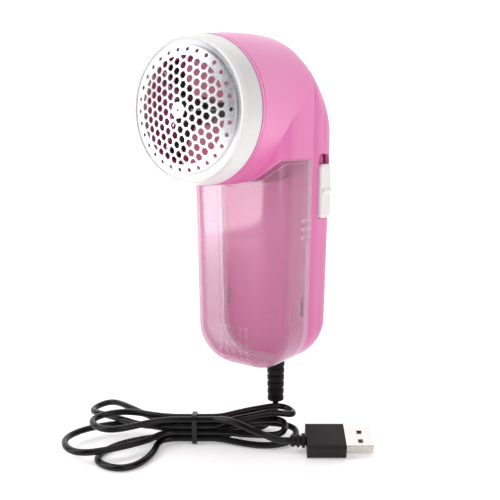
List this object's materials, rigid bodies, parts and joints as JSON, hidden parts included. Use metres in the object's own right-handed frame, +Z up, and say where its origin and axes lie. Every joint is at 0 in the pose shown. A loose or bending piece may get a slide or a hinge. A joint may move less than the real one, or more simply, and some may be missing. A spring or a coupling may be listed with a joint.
{
  "type": "fabric shaver",
  "caption": "Hand-held mains-free fabric shaver: round mesh head over spinning cutter blades, clear lint bin, slide switch and a tied USB cable.",
  "frame": {"origin": "centre of the mesh rim, on the axis of the cutter and motor", "axes": "-Y is the front that meets the cloth, along the cutter axis; +Z is up the handle towards the head; +X is the side with the switch"},
  "size_m": [0.1306, 0.0932, 0.1802],
  "materials": {
    "casing_pink": "satin moulded",
    "collar_white": "smooth moulded",
    "switch_white": "smooth moulded",
    "mesh_metal": "etched and polished",
    "bin_clear": "clear moulded plastic",
    "inner_plastic": "natural moulded",
    "hub_black": "moulded",
    "steel": "bright",
    "magnet_grey": "sintered",
    "copper": "enamelled copper",
    "bronze": "sintered bronze",
    "end_cap_white": "moulded",
    "brass": "stamped",
    "capacitor_blue": "dipped ceramic",
    "switch_black": "moulded",
    "wire_red": "soft insulation",
    "wire_black": "soft insulation",
    "cable_black": "glossy soft jacket",
    "moulding_black": "soft matte overmoulding",
    "plug_metal": "nickel plated",
    "plug_white": "moulded"
  },
  "bodies": {
    "casing": {"front_casing": "casing_pink", "rear_cover": "casing_pink", "motor_bracket": "inner_plastic", "motor_screws": "steel", "bracket_screws": "steel", "casing_screws": "steel", "clamp_screws": "steel", "cable_clamp": "inner_plastic", "lint_duct": "inner_plastic", "motor_can": "steel", "motor_magnets": "magnet_grey", "motor_end_cap": "end_cap_white", "motor_bushes": "bronze", "motor_brushes": "steel", "motor_terminals": "brass", "noise_capacitor": "capacitor_blue", "slide_switch": "switch_black", "switch_terminals": "brass", "wire_supply": "wire_red", "wire_switched": "wire_red", "wire_return": "wire_black", "strain_relief": "moulding_black", "usb_cable": "cable_black", "cable_tie": "moulding_black", "usb_plug_body": "moulding_black", "usb_shell": "plug_metal", "usb_tongue": "plug_white", "usb_contacts": "brass"},
    "rotor": {"blade_hub": "hub_black", "cutter_blades": "steel", "drive_dog": "inner_plastic", "blade_spring": "steel", "motor_shaft": "steel", "motor_armature": "magnet_grey", "motor_windings": "copper", "commutator": "copper"},
    "collar": {"mesh_collar": "collar_white"},
    "guard": {"mesh_foil": "mesh_metal", "mesh_ring": "collar_white"},
    "switch": {"switch_button": "switch_white", "switch_carrier": "inner_plastic", "switch_slider": "switch_black"},
    "bin": {"lint_bin": "bin_clear"}
  },
  "joints": [
    {"name": "rotor_spin", "type": "hinge", "parent": "casing", "child": "rotor", "pos_m": [0, 0, 0], "axis": [0, 1, 0], "continuous": true},
    {"name": "guard_lift", "type": "slide", "parent": "casing", "child": "guard", "axis": [0, -1, 0], "range_m": [0, 0.04]},
    {"name": "collar_twist", "type": "hinge", "parent": "guard", "child": "collar", "pos_m": [0, 0, 0], "axis": [0, -1, 0], "range_deg": [0, 25]},
    {"name": "switch_slide", "type": "slide", "parent": "casing", "child": "switch", "axis": [0, 0, 1], "range_m": [0, 0.004]},
    {"name": "bin_slide", "type": "slide", "parent": "casing", "child": "bin", "axis": [0, -1, 0], "range_m": [0, 0.06]}
  ]
}
